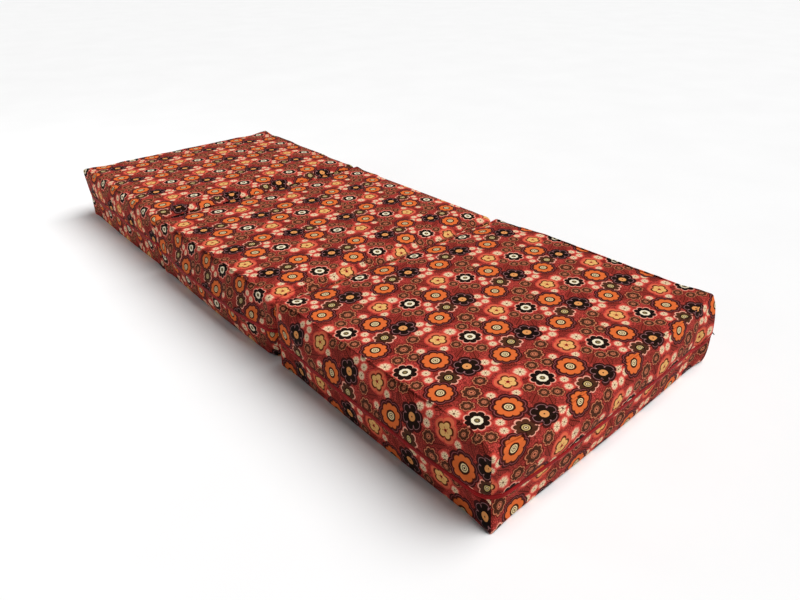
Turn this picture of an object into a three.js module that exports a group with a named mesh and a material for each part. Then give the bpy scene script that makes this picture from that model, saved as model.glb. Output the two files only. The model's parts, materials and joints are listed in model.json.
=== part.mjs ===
import * as THREE from 'three';

// A mattress of three filled blocks lies open in a row: x runs along it, y across it and z is up.
// Sizes are in millimetres. The origin is the middle of the underside.

// Whole blocks
const WIDTH = 700;
const FAR_LENGTH = 634;
const MIDDLE_LENGTH = 668;
const NEAR_LENGTH = 652;
const FOLD_GAP = 3;
const HEIGHT = 162;

// Zip channel round each block
const ZIP_HEIGHT = 10;
const ZIP_DEPTH = 3.4;
const CHANNEL_DEPTH = 6;
const PIECE_GAP = 0.3;
const DRAW_IN = 1.6;

// Pinched corners of the cover
const EAR_REACH = 85;
const ZIP_REACH = 190;
const BELLY_REACH = 190;
const SHOULDER_REACH = 110;
const CLIMB_REACH = 50;
const EAR_ROLL = 6;
const EAR_FOOT = 3;

// Stations along half of one side, measured from the corner
const STATION_STEPS = [0, 9, 24, 48, 100, 200];

// Shares of a band's height, and angles round a rolled edge, where the outline is drawn
const TOP_WALL_SHARES = [0, 0.18, 0.5, 0.82, 1];
const BASE_WALL_SHARES = [0, 0.25, 0.6, 1];
const TOP_ROLL_ANGLES = [22.5, 45, 67.5, 90];
const FOOT_ROLL_ANGLES = [90, 60, 30];

// One row for each block. Sides go round it: left, near end, right, far end. A side's roll and foot are
// the radii of its top and bottom edges, crest is its top height, and zip is the height of the zip at its
// middle. Shoulder and belly are how far the wall stands out at the top roll and at the zip, and upper
// and lower are how far the cloth above and below the zip swells besides.
const SIDE_ROWS = {
  far: [
    { side: 'left', roll: 18, foot: 6, crest: 162, shoulder: 0, upper: 4, belly: 2, lower: 6, zip: 71 },
    { side: 'near_end', roll: 24, foot: 10, crest: 162, shoulder: 0, upper: 0, belly: 0, lower: 0, zip: 68 },
    { side: 'right', roll: 14, foot: 6, crest: 164, shoulder: 0, upper: 7, belly: 4, lower: 6, zip: 68 },
    { side: 'far_end', roll: 14, foot: 6, crest: 163, shoulder: 0, upper: 5, belly: 4, lower: 6, zip: 68 },
  ],
  middle: [
    { side: 'left', roll: 20, foot: 6, crest: 161, shoulder: 2, upper: 3, belly: 16, lower: 12, zip: 68 },
    { side: 'near_end', roll: 24, foot: 16, crest: 160, shoulder: 0, upper: 0, belly: 0, lower: 0, zip: 68 },
    { side: 'right', roll: 15, foot: 6, crest: 163, shoulder: 0, upper: 8, belly: 6, lower: 8, zip: 64 },
    { side: 'far_end', roll: 16, foot: 10, crest: 162, shoulder: 0, upper: 0, belly: 0, lower: 0, zip: 62 },
  ],
  near: [
    { side: 'left', roll: 20, foot: 5, crest: 164, shoulder: 2, upper: 2, belly: 9, lower: 7, zip: 67 },
    { side: 'near_end', roll: 10, foot: 5, crest: 165, shoulder: 15, upper: 8, belly: 13, lower: 8, zip: 68 },
    { side: 'right', roll: 12, foot: 6, crest: 167, shoulder: 0, upper: 10, belly: 6, lower: 8, zip: 66 },
    { side: 'far_end', roll: 10, foot: 12, crest: 162, shoulder: 0, upper: 0, belly: 0, lower: 0, zip: 60 },
  ],
};

// One row for each corner, where the side of the same place in the list begins. Low, waist and high are
// the corner's radii seen from above at the floor, at the zip and at the top, ear is the corner's top
// height, swell is how far its walls stand out, zip is the height of the zip there, and climb is how
// much the zip rises from it close to the corner.
const CORNER_ROWS = {
  far: [
    { corner: 'far_left', low: 20, waist: 32, high: 5, ear: 165, swell: 0, zip: 66, climb: 0 },
    { corner: 'near_left', low: 16, waist: 24, high: 22, ear: 160, swell: 0, zip: 74, climb: 0 },
    { corner: 'near_right', low: 16, waist: 22, high: 20, ear: 160, swell: 0, zip: 70, climb: 0 },
    { corner: 'far_right', low: 14, waist: 32, high: 5, ear: 167, swell: 0, zip: 66, climb: 0 },
  ],
  middle: [
    { corner: 'far_left', low: 12, waist: 10, high: 10, ear: 162, swell: 4, zip: 64, climb: 0 },
    { corner: 'near_left', low: 54, waist: 48, high: 30, ear: 158, swell: 2, zip: 75, climb: 0 },
    { corner: 'near_right', low: 30, waist: 40, high: 30, ear: 157, swell: 0, zip: 62, climb: 0 },
    { corner: 'far_right', low: 12, waist: 20, high: 12, ear: 162, swell: 0, zip: 62, climb: 0 },
  ],
  near: [
    { corner: 'far_left', low: 8, waist: 10, high: 5, ear: 165, swell: 0, zip: 62, climb: 0 },
    { corner: 'near_left', low: 4, waist: 44, high: 5, ear: 164, swell: 0, zip: 62, climb: 0 },
    { corner: 'near_right', low: 12, waist: 12, high: 5, ear: 170, swell: 10, zip: 55, climb: 10 },
    { corner: 'far_right', low: 12, waist: 18, high: 12, ear: 161, swell: 0, zip: 60, climb: 0 },
  ],
};

// How far each end leans back into its block at the floor and at the top, which opens the folds
const LEAN_ROWS = {
  far: { far_low: 0, far_high: 0, near_low: 0, near_high: 5 },
  middle: { far_low: 0, far_high: 3, near_low: 19, near_high: 0 },
  near: { far_low: -11, far_high: 0, near_low: 0, near_high: 0 },
};

const CROWN = { far: 4, middle: 5, near: 5 };
const SLACK = 1.4;

// Fold seams: the stations that they leave free at each corner, their clearance from the covers, and
// the heights where they are drawn, lowest first
const FOLD_SEAM_INSET = 2;
const SEAM_CLEARANCE = 1;
const LOW_SEAM_HEIGHTS = [1.5, 3, 4.5];
const HIGH_SEAM_HEIGHTS = [145, 148.5, 152];

// Zip slider and its pull, on the near block's right side close to the near end
const SLIDER_SIZE = { along: 11, out: 4.5, tall: 9 };
const SLIDER_PLACE = 7;
const SLIDER_TURN = -25;
const PULL_SIZE = { long: 20, wide: 6, thick: 1.4, rise: 7 };
const PULL_SLOPE = 50;

const COLOURS = {
  cover: 0x8f2a2c,
  zip: 0x9c1219,
  slider: 0x9a9a9c,
  pull: 0x2b2b2e,
};

const mix = (a, b, share) => a + (b - a) * share;
const wave = (angle) => Math.max(Math.sin((angle * Math.PI) / 180), 0);
const fall = (angle) => 1 - Math.cos((angle * Math.PI) / 180);

function smooth(low, high, value) {
  const share = Math.min(Math.max((value - low) / (high - low), 0), 1);
  return share * share * (3 - 2 * share);
}

// The three blocks, each with its name and its two ends along x
function layOutBlocks() {
  const total = FAR_LENGTH + MIDDLE_LENGTH + NEAR_LENGTH + 2 * FOLD_GAP;
  const blocks = [];
  let start = -total / 2;
  for (const [name, length] of [['far', FAR_LENGTH], ['middle', MIDDLE_LENGTH], ['near', NEAR_LENGTH]]) {
    blocks.push({ name, from: start, to: start + length });
    start += length + FOLD_GAP;
  }
  return blocks;
}

// The stations round a block: which side, how far along it, and how near a corner
function stationsOf(block) {
  const lengths = [block.to - block.from, WIDTH, block.to - block.from, WIDTH];
  const stations = [];
  lengths.forEach((length, side) => {
    const half = STATION_STEPS.concat(length / 2);
    const back = STATION_STEPS.slice(1).reverse().map((step) => length - step);
    for (const run of half.concat(back)) {
      stations.push({ side, run, length });
    }
  });
  return stations;
}

// Values at a station, blended from its side's row and its nearer corner's row
function traitsAt(block, station) {
  const sideRow = SIDE_ROWS[block.name][station.side];
  const corners = CORNER_ROWS[block.name];
  const atStart = station.run <= station.length / 2;
  const corner = corners[atStart ? station.side : (station.side + 1) % 4];
  const reach = Math.min(station.run, station.length - station.run);
  const away = smooth(0, EAR_REACH, reach);
  const swell = smooth(0, station.length / 2, reach);
  return {
    atStart,
    corner,
    reach,
    away,
    roll: mix(Math.min(EAR_ROLL + corner.high / 2, sideRow.roll), sideRow.roll, away),
    foot: mix(EAR_FOOT, sideRow.foot, away),
    crest: mix(corner.ear, sideRow.crest, away),
    zip: mix(corner.zip, sideRow.zip, smooth(0, ZIP_REACH, reach))
      + corner.climb * (1 - smooth(0, CLIMB_REACH, reach)),
    shoulder: sideRow.shoulder * smooth(0, SHOULDER_REACH, reach),
    upper: sideRow.upper * Math.sqrt(swell) * away,
    belly: sideRow.belly * smooth(0, BELLY_REACH, reach),
    lower: sideRow.lower * Math.sqrt(swell) * away,
  };
}

// A point of the block's outline at a height, pushed outward by some millimetres
function outlinePoint(block, station, traits, z, push) {
  const rise = z / HEIGHT;
  const lean = LEAN_ROWS[block.name];
  const from = block.from + mix(lean.far_low, lean.far_high, rise);
  const to = block.to - mix(lean.near_low, lean.near_high, rise);
  const half = WIDTH / 2;
  const corners = [[from, -half], [to, -half], [to, half], [from, half]];
  const tangents = [[1, 0], [0, 1], [-1, 0], [0, -1]];
  const normals = [[0, -1], [1, 0], [0, 1], [-1, 0]];
  const begin = corners[station.side];
  const end = corners[(station.side + 1) % 4];
  const tangent = tangents[station.side];
  const normal = normals[station.side];

  const waistShare = smooth(0, traits.zip, z);
  const topShare = smooth(traits.zip, traits.crest, z);
  const { low, waist, high } = traits.corner;
  const radius = z < traits.zip ? mix(low, waist, waistShare) : mix(waist, high, topShare);

  const out = push + traits.corner.swell * (1 - traits.away) * wave(180 * rise) ** 0.6;
  if (traits.reach < radius) {
    const toward = traits.atStart ? -1 : 1;
    const anchor = traits.atStart ? begin : end;
    const angle = (1 - traits.reach / radius) * (Math.PI / 4);
    const [x, y] = [0, 1].map((k) => {
      const centre = anchor[k] - (toward * tangent[k] + normal[k]) * radius;
      const spoke = Math.cos(angle) * normal[k] + toward * Math.sin(angle) * tangent[k];
      return centre + spoke * (radius + out);
    });
    return new THREE.Vector3(x, y, z);
  }
  const share = station.run / station.length;
  const [x, y] = [0, 1].map((k) => mix(begin[k], end[k], share) + normal[k] * out);
  return new THREE.Vector3(x, y, z);
}

// Slack cloth swells and sinks a little along a side
function slackAt(block, station) {
  const turn = (station.side + 1) * 1.7 + block.from / 300;
  return SLACK * Math.sin(station.run / 47 + turn) * Math.sin(station.run / 113 - turn);
}

// The rings of a top cover, from the zip up to where the flat of the top begins
function topCoverRings(block, stations) {
  const rings = [];
  const addRing = (place) => {
    rings.push(stations.map((station) => {
      const traits = traitsAt(block, station);
      const { z, push } = place(traits, station);
      return outlinePoint(block, station, traits, z, push);
    }));
  };
  const wallFoot = (traits) => traits.zip + ZIP_HEIGHT / 2;
  const wallHead = (traits) => traits.crest - traits.roll;
  addRing((traits) => ({ z: traits.zip + PIECE_GAP / 2, push: traits.belly - CHANNEL_DEPTH }));
  addRing((traits) => ({ z: wallFoot(traits), push: traits.belly - CHANNEL_DEPTH }));
  for (const share of TOP_WALL_SHARES) {
    addRing((traits, station) => ({
      z: mix(wallFoot(traits), wallHead(traits), share),
      push: mix(traits.shoulder, traits.belly, (1 - share) ** 1.3)
        + (traits.upper + slackAt(block, station) * traits.away) * wave(180 * share) ** 0.8
        - DRAW_IN * (1 - share) ** 3,
    }));
  }
  for (const angle of TOP_ROLL_ANGLES) {
    addRing((traits) => ({
      z: wallHead(traits) + traits.roll * wave(angle),
      push: traits.shoulder - traits.roll * fall(angle),
    }));
  }
  return rings;
}

// A base cover's wall swells most low down, where the block's weight spreads it
const sagOf = (share) => 0.6 * (1 - share) ** 0.8 + 0.5 * wave(180 * share);

// The rings of a base cover, from the floor up to the zip
function baseCoverRings(block, stations) {
  const rings = [];
  const addRing = (place) => {
    rings.push(stations.map((station) => {
      const traits = traitsAt(block, station);
      const { z, push } = place(traits, station);
      return outlinePoint(block, station, traits, z, push);
    }));
  };
  const wallHead = (traits) => traits.zip - ZIP_HEIGHT / 2;
  for (const angle of FOOT_ROLL_ANGLES) {
    addRing((traits) => ({
      z: traits.foot * (1 - wave(angle)),
      push: traits.lower * sagOf(0) - traits.foot * fall(angle),
    }));
  }
  for (const share of BASE_WALL_SHARES) {
    addRing((traits, station) => ({
      z: mix(traits.foot, wallHead(traits), share),
      push: traits.belly * share ** 0.8 + traits.lower * sagOf(share) - DRAW_IN * share ** 3
        + slackAt(block, station) * traits.away * wave(180 * share),
    }));
  }
  addRing((traits) => ({ z: wallHead(traits), push: traits.belly - CHANNEL_DEPTH }));
  addRing((traits) => ({ z: traits.zip - PIECE_GAP / 2, push: traits.belly - CHANNEL_DEPTH }));
  return rings;
}

// Vertices and triangles gathered for one closed mesh
class Shell {
  constructor() {
    this.points = [];
    this.faces = [];
  }

  add(point) {
    this.points.push(point.x, point.y, point.z);
    return this.points.length / 3 - 1;
  }

  addRing(ring) {
    return ring.map((point) => this.add(point));
  }

  band(lower, upper) {
    lower.forEach((corner, k) => {
      const next = (k + 1) % lower.length;
      this.faces.push(corner, lower[next], upper[next]);
      this.faces.push(corner, upper[next], upper[k]);
    });
  }

  fan(ring, centre, faceUp) {
    ring.forEach((corner, k) => {
      const next = ring[(k + 1) % ring.length];
      this.faces.push(...(faceUp ? [centre, corner, next] : [centre, next, corner]));
    });
  }

  geometry() {
    const geometry = new THREE.BufferGeometry();
    geometry.setAttribute('position', new THREE.Float32BufferAttribute(this.points, 3));
    geometry.setIndex(this.faces);
    geometry.computeVertexNormals();
    return geometry;
  }
}

// The middle of a ring, at its mean height or at a height given
function middleOf(ring, z) {
  const centre = new THREE.Vector3();
  ring.forEach((point) => centre.add(point));
  centre.divideScalar(ring.length);
  centre.z = z ?? centre.z;
  return centre;
}

// The crowned top inside the last ring, blended across from its four edges
function crownTop(shell, ring, indices, crown) {
  const count = ring.length / 4;
  const south = (i) => i;
  const east = (j) => count + j;
  const north = (i) => 3 * count - i;
  const west = (j) => (4 * count - j) % (4 * count);
  const grid = [];
  for (let i = 0; i <= count; i += 1) {
    grid.push([]);
    for (let j = 0; j <= count; j += 1) {
      if (j === 0) {
        grid[i].push(indices[south(i)]);
      } else if (i === count) {
        grid[i].push(indices[east(j)]);
      } else if (j === count) {
        grid[i].push(indices[north(i)]);
      } else if (i === 0) {
        grid[i].push(indices[west(j)]);
      } else {
        grid[i].push(shell.add(crownPoint(ring, { i, j, south, east, north, west, count, crown })));
      }
    }
  }
  for (let i = 0; i < count; i += 1) {
    for (let j = 0; j < count; j += 1) {
      shell.faces.push(grid[i][j], grid[i + 1][j], grid[i + 1][j + 1]);
      shell.faces.push(grid[i][j], grid[i + 1][j + 1], grid[i][j + 1]);
    }
  }
}

// One inner point of the crowned top
function crownPoint(ring, place) {
  const { i, j, south, east, north, west, count, crown } = place;
  const low = ring[south(i)];
  const high = ring[north(i)];
  const left = ring[west(j)];
  const right = ring[east(j)];
  const across = (left.y - ring[south(0)].y) / (ring[north(0)].y - ring[south(0)].y);
  const along = (low.x - ring[south(0)].x) / (ring[south(count)].x - ring[south(0)].x);
  const corners = [ring[south(0)], ring[south(count)], ring[north(count)], ring[north(0)]];
  const point = new THREE.Vector3();
  for (const key of ['x', 'y', 'z']) {
    const rows = mix(low[key], high[key], across) + mix(left[key], right[key], along);
    const ends = mix(
      mix(corners[0][key], corners[1][key], along),
      mix(corners[3][key], corners[2][key], along),
      across,
    );
    point[key] = rows - ends;
  }
  const u = 2 * along - 1;
  const v = 2 * across - 1;
  const swell = (1 - Math.abs(u) ** 3) * (1 - Math.abs(v) ** 3);
  point.z += crown * swell + SLACK * swell * Math.sin(5 * u + 1) * Math.sin(4 * v - 2 + u);
  return point;
}

function topCover(block) {
  const shell = new Shell();
  const rings = topCoverRings(block, stationsOf(block));
  const loops = rings.map((ring) => shell.addRing(ring));
  shell.fan(loops[0], shell.add(middleOf(rings[0], HEIGHT * 0.37 + PIECE_GAP / 2)), false);
  loops.slice(1).forEach((loop, k) => shell.band(loops[k], loop));
  crownTop(shell, rings.at(-1), loops.at(-1), CROWN[block.name]);
  return shell.geometry();
}

function baseCover(block) {
  const shell = new Shell();
  const rings = baseCoverRings(block, stationsOf(block));
  const loops = rings.map((ring) => shell.addRing(ring));
  shell.fan(loops[0], shell.add(middleOf(rings[0], 0)), false);
  loops.slice(1).forEach((loop, k) => shell.band(loops[k], loop));
  shell.fan(loops.at(-1), shell.add(middleOf(rings.at(-1), HEIGHT * 0.37 - PIECE_GAP / 2)), true);
  return shell.geometry();
}

// The zip is a band of four corners in section that fills the channel to just below the cloth
function zipBand(block) {
  const shell = new Shell();
  const inner = -CHANNEL_DEPTH + PIECE_GAP;
  const outer = inner + ZIP_DEPTH;
  const lift = ZIP_HEIGHT / 2 - PIECE_GAP;
  const section = [
    { push: inner, lift: -lift },
    { push: outer, lift: -lift },
    { push: outer, lift },
    { push: inner, lift },
  ];
  const stations = stationsOf(block);
  const loops = section.map((edge) => shell.addRing(stations.map((station) => {
    const traits = traitsAt(block, station);
    return outlinePoint(block, station, traits, traits.zip + edge.lift, traits.belly + edge.push);
  })));
  loops.forEach((loop, k) => shell.band(loop, loops[(k + 1) % loops.length]));
  return shell.geometry();
}

// A piece named for its node, in its own material
function piece(name, geometry, colour, roughness, metalness) {
  const material = new THREE.MeshStandardMaterial({ color: colour, roughness, metalness });
  const mesh = new THREE.Mesh(geometry, material);
  mesh.name = name;
  return mesh;
}

// Where an end of a block stands at a height near its top roll or its foot, seen along one station
function endFace(block, sideIndex, step, z) {
  const stations = stationsOf(block).filter((station) => station.side === sideIndex);
  const station = stations[step];
  const traits = traitsAt(block, station);
  const head = traits.crest - traits.roll;
  let push = 0;
  if (z > head) {
    push = -traits.roll * (1 - Math.sqrt(1 - ((z - head) / traits.roll) ** 2));
  }
  if (z < traits.foot) {
    push = -traits.foot * (1 - Math.sqrt(1 - ((traits.foot - z) / traits.foot) ** 2));
  }
  return outlinePoint(block, station, traits, z, push);
}

// A fold seam is the sewn cloth in the trough between two blocks' edges, a section at each station
function foldSeam(before, after, heights) {
  const shell = new Shell();
  const nearEnd = 1;
  const farEnd = 3;
  const count = 2 * STATION_STEPS.length;
  const sections = [];
  for (let step = FOLD_SEAM_INSET; step <= count - FOLD_SEAM_INSET; step += 1) {
    const rim = [];
    for (const z of heights) {
      const point = endFace(before, nearEnd, step, z);
      point.x += SEAM_CLEARANCE;
      rim.push(point);
    }
    for (const z of heights.toReversed()) {
      const point = endFace(after, farEnd, count - step, z);
      point.x -= SEAM_CLEARANCE;
      rim.push(point);
    }
    sections.push(rim);
  }
  const loops = sections.map((rim) => shell.addRing(rim));
  loops.slice(1).forEach((loop, k) => shell.band(loops[k], loop));
  shell.fan(loops[0], shell.add(middleOf(sections[0])), false);
  shell.fan(loops.at(-1), shell.add(middleOf(sections.at(-1))), true);
  return shell.geometry();
}

const blocks = layOutBlocks();
const [farBlock, middleBlock, nearBlock] = blocks;

// The slider rides on the near zip's outer face, its back to the zip
function zipSlider() {
  const { along, out, tall } = SLIDER_SIZE;
  const outline = new THREE.Shape();
  outline.moveTo(-along / 2, 0);
  outline.lineTo(along / 2, 0);
  outline.lineTo(along / 3, out);
  outline.lineTo(-along / 3, out);
  outline.closePath();
  const geometry = new THREE.ExtrudeGeometry(outline, { depth: tall, bevelEnabled: false });
  geometry.translate(0, 0, -tall / 2);
  return geometry;
}

// The pull is a flat tab with a round end, drawn along y from the slider's face
function zipPull() {
  const { long, wide, thick } = PULL_SIZE;
  const outline = new THREE.Shape();
  outline.moveTo(-wide / 2, 0);
  outline.lineTo(wide / 2, 0);
  outline.lineTo(wide / 2, long - wide / 2);
  outline.absarc(0, long - wide / 2, wide / 2, 0, Math.PI, false);
  outline.closePath();
  const shape = { depth: thick, bevelEnabled: false, curveSegments: 5 };
  const geometry = new THREE.ExtrudeGeometry(outline, shape);
  geometry.translate(0, 0, -thick / 2);
  return geometry;
}

// The slider and its pull, faced outward
function zipPuller() {
  const place = { side: 2, run: SLIDER_PLACE, length: NEAR_LENGTH };
  const traits = traitsAt(nearBlock, place);
  const face = ZIP_DEPTH - CHANNEL_DEPTH + 3 * PIECE_GAP;
  const puller = new THREE.Group();
  puller.position.copy(outlinePoint(nearBlock, place, traits, traits.zip, traits.belly + face));
  puller.rotation.z = SLIDER_TURN * Math.PI / 180;
  const slider = piece('zip_slider', zipSlider(), COLOURS.slider, 0.35, 0.9);
  const pull = piece('zip_pull', zipPull(), COLOURS.pull, 0.4, 0.8);
  pull.position.y = SLIDER_SIZE.out + PULL_SIZE.thick * wave(PULL_SLOPE) / 2 + PIECE_GAP;
  pull.position.z = PULL_SIZE.rise;
  pull.rotation.x = -PULL_SLOPE * Math.PI / 180;
  puller.add(slider, pull);
  return puller;
}

const mattress = new THREE.Group();
for (const block of blocks) {
  mattress.add(piece(`${block.name}_base_cover`, baseCover(block), COLOURS.cover, 0.85, 0));
  mattress.add(piece(`${block.name}_zip`, zipBand(block), COLOURS.zip, 0.6, 0));
  mattress.add(piece(`${block.name}_top_cover`, topCover(block), COLOURS.cover, 0.85, 0));
}
const lowSeam = foldSeam(farBlock, middleBlock, LOW_SEAM_HEIGHTS);
const highSeam = foldSeam(middleBlock, nearBlock, HIGH_SEAM_HEIGHTS);
mattress.add(piece('low_fold_seam', lowSeam, COLOURS.cover, 0.85, 0));
mattress.add(piece('high_fold_seam', highSeam, COLOURS.cover, 0.85, 0));
mattress.add(zipPuller());

// The tab stands past one side, so the whole is moved until its box is centred on the origin
const box = new THREE.Box3().setFromObject(mattress, true);
mattress.position.set(-(box.min.x + box.max.x) / 2, -(box.min.y + box.max.y) / 2, -box.min.z);

export default mattress;
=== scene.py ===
"""A folding mattress of three zipped blocks, lying open in a row on a pale floor.

The frame gives the sizes and the places. Each block's two covers are drawn as closed padded forms, settled
by a short cloth simulation and dressed in a small flower print that is drawn by shader nodes. Lengths are
in metres. X runs along the row, Y across it and Z is up. The far, middle and near blocks follow X.
"""

import json
import math
from collections import namedtuple

import bmesh
import bpy
import numpy as np
from mathutils import Matrix, Vector, noise

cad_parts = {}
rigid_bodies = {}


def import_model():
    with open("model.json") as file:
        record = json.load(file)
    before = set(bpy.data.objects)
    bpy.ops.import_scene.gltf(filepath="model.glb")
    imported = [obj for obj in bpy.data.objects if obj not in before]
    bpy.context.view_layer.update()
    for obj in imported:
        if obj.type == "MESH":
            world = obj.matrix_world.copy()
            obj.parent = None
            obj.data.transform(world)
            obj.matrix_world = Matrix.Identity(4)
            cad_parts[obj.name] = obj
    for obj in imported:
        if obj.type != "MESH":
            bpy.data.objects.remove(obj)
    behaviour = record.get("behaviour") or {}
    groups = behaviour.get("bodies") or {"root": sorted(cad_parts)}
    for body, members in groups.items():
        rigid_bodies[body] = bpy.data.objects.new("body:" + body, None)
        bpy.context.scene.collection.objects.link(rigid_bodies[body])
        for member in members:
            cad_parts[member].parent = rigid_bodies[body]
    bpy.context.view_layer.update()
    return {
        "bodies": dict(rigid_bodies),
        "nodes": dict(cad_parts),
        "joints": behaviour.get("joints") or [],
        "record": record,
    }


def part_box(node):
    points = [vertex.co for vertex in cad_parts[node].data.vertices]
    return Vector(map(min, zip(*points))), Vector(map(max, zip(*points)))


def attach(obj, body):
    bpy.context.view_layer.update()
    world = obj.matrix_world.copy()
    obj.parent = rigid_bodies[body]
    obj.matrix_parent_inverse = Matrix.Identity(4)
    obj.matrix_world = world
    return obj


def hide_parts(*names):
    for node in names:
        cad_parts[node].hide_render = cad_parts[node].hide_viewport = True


def shade(code):
    """A screen colour written as 0xRRGGBB, as the linear colour that a shader takes."""
    channels = [(code >> shift & 255) / 255 for shift in (16, 8, 0)]
    linear = [c / 12.92 if c <= 0.04045 else ((c + 0.055) / 1.055) ** 2.4 for c in channels]
    return (*linear, 1.0)


def faded(colour):
    """The same colour, wholly see-through, so that a soft band fades out into it."""
    return (*colour[:3], 0.0)


MM = 0.001

# Whole blocks, as in the frame
WIDTH = 700 * MM
BLOCK_LENGTHS = {"far": 634 * MM, "middle": 668 * MM, "near": 652 * MM}
FOLD_GAP = 3 * MM
HEIGHT = 162 * MM

# The zip's channel round each block, and the covers' folded edges beside it
ZIP_HEIGHT = 10 * MM
ZIP_DEPTH = 3.4 * MM
CHANNEL_DEPTH = 6 * MM
PIECE_GAP = 0.3 * MM
ZIP_INNER = -CHANNEL_DEPTH + PIECE_GAP
ZIP_OUTER = ZIP_INNER + ZIP_DEPTH
DRAW_IN = 1.6 * MM
EDGE_FOLD = 0.9 * MM

# The tape's bevelled edges, and the ridge of covered teeth with its groove
TAPE_BEVEL = 0.9 * MM
RIDGE_WIDTH = 1.7 * MM
RIDGE_LIFT = 0.1 * MM
GROOVE_WIDTH = 0.25 * MM
GROOVE_DEPTH = 0.4 * MM

# How far from a corner each of its effects reaches, and the least top roll and the bottom roll there
EAR_REACH = 85 * MM
ZIP_REACH = 190 * MM
BELLY_REACH = 190 * MM
SHOULDER_REACH = 110 * MM
CLIMB_REACH = 50 * MM
EAR_ROLL = 6 * MM
EAR_FOOT = 3 * MM

# Mesh density before subdivision, and how much closer the stations stand at a corner
LONG_STATIONS = 84
WIDE_STATIONS = 88
CORNER_CROWD = 0.55
WALL_ROWS = 10
ROLL_ROWS = 6
FOOT_ROWS = 4

# Each side's top and bottom roll, top height and the zip's height at its middle, how far the wall stands out
# at the top roll and at the zip, and how far the cloth above and below the zip swells besides, in MM
Side = namedtuple("Side", "roll foot crest zip shoulder belly upper lower", defaults=(0, 0, 0, 0))
SIDES = {
    "far": [
        Side(roll=11, foot=6, crest=163, zip=71, belly=2, upper=4, lower=6),
        Side(roll=24, foot=10, crest=162, zip=68),
        Side(roll=14, foot=6, crest=164, zip=68, belly=4, upper=7, lower=6),
        Side(roll=14, foot=6, crest=163, zip=68, belly=4, upper=5, lower=6),
    ],
    "middle": [
        Side(roll=12, foot=6, crest=163, zip=69, shoulder=2, belly=15, upper=3, lower=10),
        Side(roll=24, foot=16, crest=160, zip=68),
        Side(roll=15, foot=6, crest=163, zip=64, belly=6, upper=8, lower=8),
        Side(roll=16, foot=10, crest=162, zip=62),
    ],
    "near": [
        Side(roll=20, foot=5, crest=164, zip=67, shoulder=2, belly=9, upper=2, lower=7),
        Side(roll=10, foot=5, crest=165, zip=68, shoulder=15, belly=13, upper=8, lower=8),
        Side(roll=12, foot=6, crest=167, zip=66, belly=6, upper=10, lower=8),
        Side(roll=10, foot=12, crest=162, zip=60),
    ],
}

# Each corner's rounding at the floor, the zip and the top, its top height and the zip's height there, how far
# it stands out and how far the zip climbs, in MM. A side's row and its first corner have the same place.
Corner = namedtuple("Corner", "low waist high ear zip swell climb", defaults=(0, 0))
CORNERS = {
    "far": [
        Corner(low=20, waist=24, high=5, ear=164, zip=67),
        Corner(low=16, waist=24, high=22, ear=160, zip=74),
        Corner(low=16, waist=22, high=20, ear=160, zip=70),
        Corner(low=14, waist=32, high=5, ear=167, zip=66),
    ],
    "middle": [
        Corner(low=12, waist=10, high=10, ear=162, zip=64, swell=4),
        Corner(low=54, waist=48, high=30, ear=158, zip=75, swell=2),
        Corner(low=30, waist=40, high=30, ear=157, zip=62),
        Corner(low=12, waist=20, high=12, ear=162, zip=62),
    ],
    "near": [
        Corner(low=8, waist=10, high=5, ear=165, zip=62),
        Corner(low=4, waist=44, high=5, ear=164, zip=62),
        Corner(low=12, waist=12, high=5, ear=171, zip=55, swell=12, climb=10),
        Corner(low=12, waist=18, high=12, ear=161, zip=60),
    ],
}

# How far each end leans back into its block at the floor and at the top, in MM
Lean = namedtuple("Lean", "far_low far_high near_low near_high", defaults=(0, 0, 0, 0))
LEANS = {"far": Lean(near_high=5), "middle": Lean(far_high=3, near_low=19), "near": Lean(far_low=-11)}

# How high each top is crowned, and how far and in what waves its loose cloth swells and sinks
CROWNS = {"far": 4 * MM, "middle": 5 * MM, "near": 5 * MM}
SLACK = 1.4 * MM
SHORT_WAVE = 47 * MM
LONG_WAVE = 113 * MM

# How the covers settle: frames of simulation, its air pressure, how far a point may go, how much smaller
# the shape starts, and spare cloth. Near a sewn corner the cloth is held closer.
SETTLE_FRAMES = 20
PRESSURE = 4
FREE_PLAY = 4 * MM
START_INSET = 3.4 * MM
CORNER_HOLD = 70 * MM
CORNER_PLAY = 0.15
SPARE_CLOTH = 0.009
CLOTH = {"quality": 4, "mass": 0.3, "tension_stiffness": 20, "compression_stiffness": 12,
         "shear_stiffness": 8, "bending_stiffness": 0.6, "air_damping": 4, "vertex_group_mass": "held",
         "pin_stiffness": 1, "use_pressure": True, "uniform_pressure_force": PRESSURE,
         "shrink_min": -SPARE_CLOTH}

# The cloth is loose again this high above the floor
FLOOR_HOLD = (2 * MM, 20 * MM)

# How deep a sewn corner sinks, and the gathers of the cloth along the zip
SEAM_SINK = 1.5 * MM
GATHER_DEPTH = 1.1 * MM
GATHER_WIDTH = 15 * MM
GATHER_REACH = 20 * MM
GATHER_START = 5 * MM
LEAST_GATHER = 0.05 * MM
GATHER_STRETCH = (GATHER_WIDTH, 4 * GATHER_WIDTH, 60 * MM)

# Tucks of loose cloth: where each begins and ends, its half width and its depth, in MM, and how far along its
# own arch each begins
TUCK_TAPER = 0.15
Tuck = namedtuple("Tuck", "start end width depth")
TUCKS = [
    Tuck(start=(962, -350, 146), end=(985, -352, 92), width=7, depth=5),
    Tuck(start=(990, -345, 128), end=(985, -300, 104), width=9, depth=3.5),
    Tuck(start=(-352, -345, 150), end=(-372, -352, 96), width=10, depth=4),
]

# Outward directions of the four sides: left, near end, right, far end
NORMALS = np.array([(0, -1), (1, 0), (0, 1), (-1, 0)], float)
TANGENTS = np.array([(1, 0), (0, 1), (-1, 0), (0, -1)], float)

# The print repeats over this width and height of cloth
REPEAT = (183.3 * MM, 162.7 * MM)

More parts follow.
